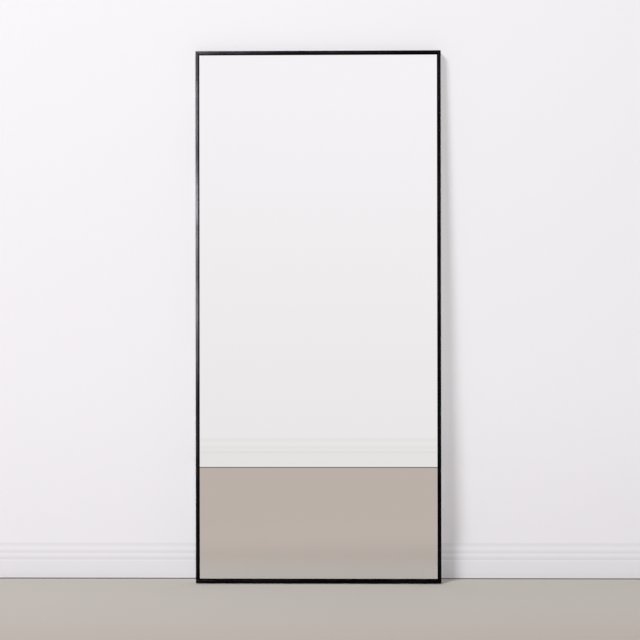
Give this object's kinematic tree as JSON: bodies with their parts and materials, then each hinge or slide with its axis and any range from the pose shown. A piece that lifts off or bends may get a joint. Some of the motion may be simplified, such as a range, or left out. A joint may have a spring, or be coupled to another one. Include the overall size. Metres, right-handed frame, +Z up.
{
  "type": "leaning floor mirror",
  "caption": "Tall rectangular floor mirror in a slim black aluminium frame that stands on rubber feet and leans back against a wall.",
  "frame": {"origin": "on the floor, under the middle of the whole object's box, from the frame's bottom front edge to the wall", "axes": "+Z up, +Y back towards the wall that the mirror leans on, so the mirror faces -Y; +X to the right as seen from the front"},
  "size_m": [0.83, 0.1024, 1.802],
  "materials": {
    "black_aluminium": "satin",
    "silvered_glass": "polished",
    "grey_film": "matte",
    "white_foam": "matte",
    "hardboard": "matte",
    "black_rubber": "matte",
    "mill_aluminium": "satin",
    "zinc_steel": "satin",
    "spring_steel": "satin",
    "dark_steel": "satin"
  },
  "bodies": {
    "mirror": {"rail_left": "black_aluminium", "rail_right": "black_aluminium", "rail_top": "black_aluminium", "rail_bottom": "black_aluminium", "mirror_glass": "silvered_glass", "safety_film": "grey_film", "foam_sheet": "white_foam", "backing_board": "hardboard", "gasket_left": "black_rubber", "gasket_right": "black_rubber", "gasket_bottom": "black_rubber", "gasket_top": "black_rubber", "setting_block_left": "black_rubber", "setting_block_right": "black_rubber", "spring_clip_left_1": "spring_steel", "spring_clip_left_2": "spring_steel", "spring_clip_left_3": "spring_steel", "spring_clip_right_1": "spring_steel", "spring_clip_right_2": "spring_steel", "spring_clip_right_3": "spring_steel", "spring_clip_bottom_left": "spring_steel", "spring_clip_bottom_right": "spring_steel", "spring_clip_top_left": "spring_steel", "spring_clip_top_right": "spring_steel", "corner_key_bottom_left": "zinc_steel", "corner_key_top_left": "zinc_steel", "corner_key_top_right": "zinc_steel", "corner_key_bottom_right": "zinc_steel", "corner_screw_bottom_left_side": "dark_steel", "corner_screw_bottom_left_end": "dark_steel", "corner_screw_top_left_side": "dark_steel", "corner_screw_top_left_end": "dark_steel", "corner_screw_top_right_side": "dark_steel", "corner_screw_top_right_end": "dark_steel", "corner_screw_bottom_right_side": "dark_steel", "corner_screw_bottom_right_end": "dark_steel", "back_brace_upper": "mill_aluminium", "back_brace_lower": "mill_aluminium", "brace_screw_upper_left": "zinc_steel", "brace_screw_upper_right": "zinc_steel", "brace_screw_lower_left": "zinc_steel", "brace_screw_lower_right": "zinc_steel", "hanger_plate_left": "zinc_steel", "hanger_plate_right": "zinc_steel", "hanger_screw_left_1": "zinc_steel", "hanger_screw_left_2": "zinc_steel", "hanger_screw_right_1": "zinc_steel", "hanger_screw_right_2": "zinc_steel", "foot_left": "black_rubber", "foot_right": "black_rubber", "wall_bumper_top_left": "black_rubber", "wall_bumper_top_right": "black_rubber", "wall_bumper_bottom_left": "black_rubber", "wall_bumper_bottom_right": "black_rubber"},
    "left_ring": {"hanger_ring_left": "zinc_steel"},
    "right_ring": {"hanger_ring_right": "zinc_steel"}
  },
  "joints": [
    {"name": "left_ring_swing", "type": "hinge", "parent": "mirror", "child": "left_ring", "pos_m": [-0.3, 0.02913, 1.45028], "axis": [1, 0, 0], "range_deg": [-2, 190]},
    {"name": "right_ring_swing", "type": "hinge", "parent": "mirror", "child": "right_ring", "pos_m": [0.3, 0.02913, 1.45028], "axis": [1, 0, 0], "range_deg": [-2, 190]}
  ]
}
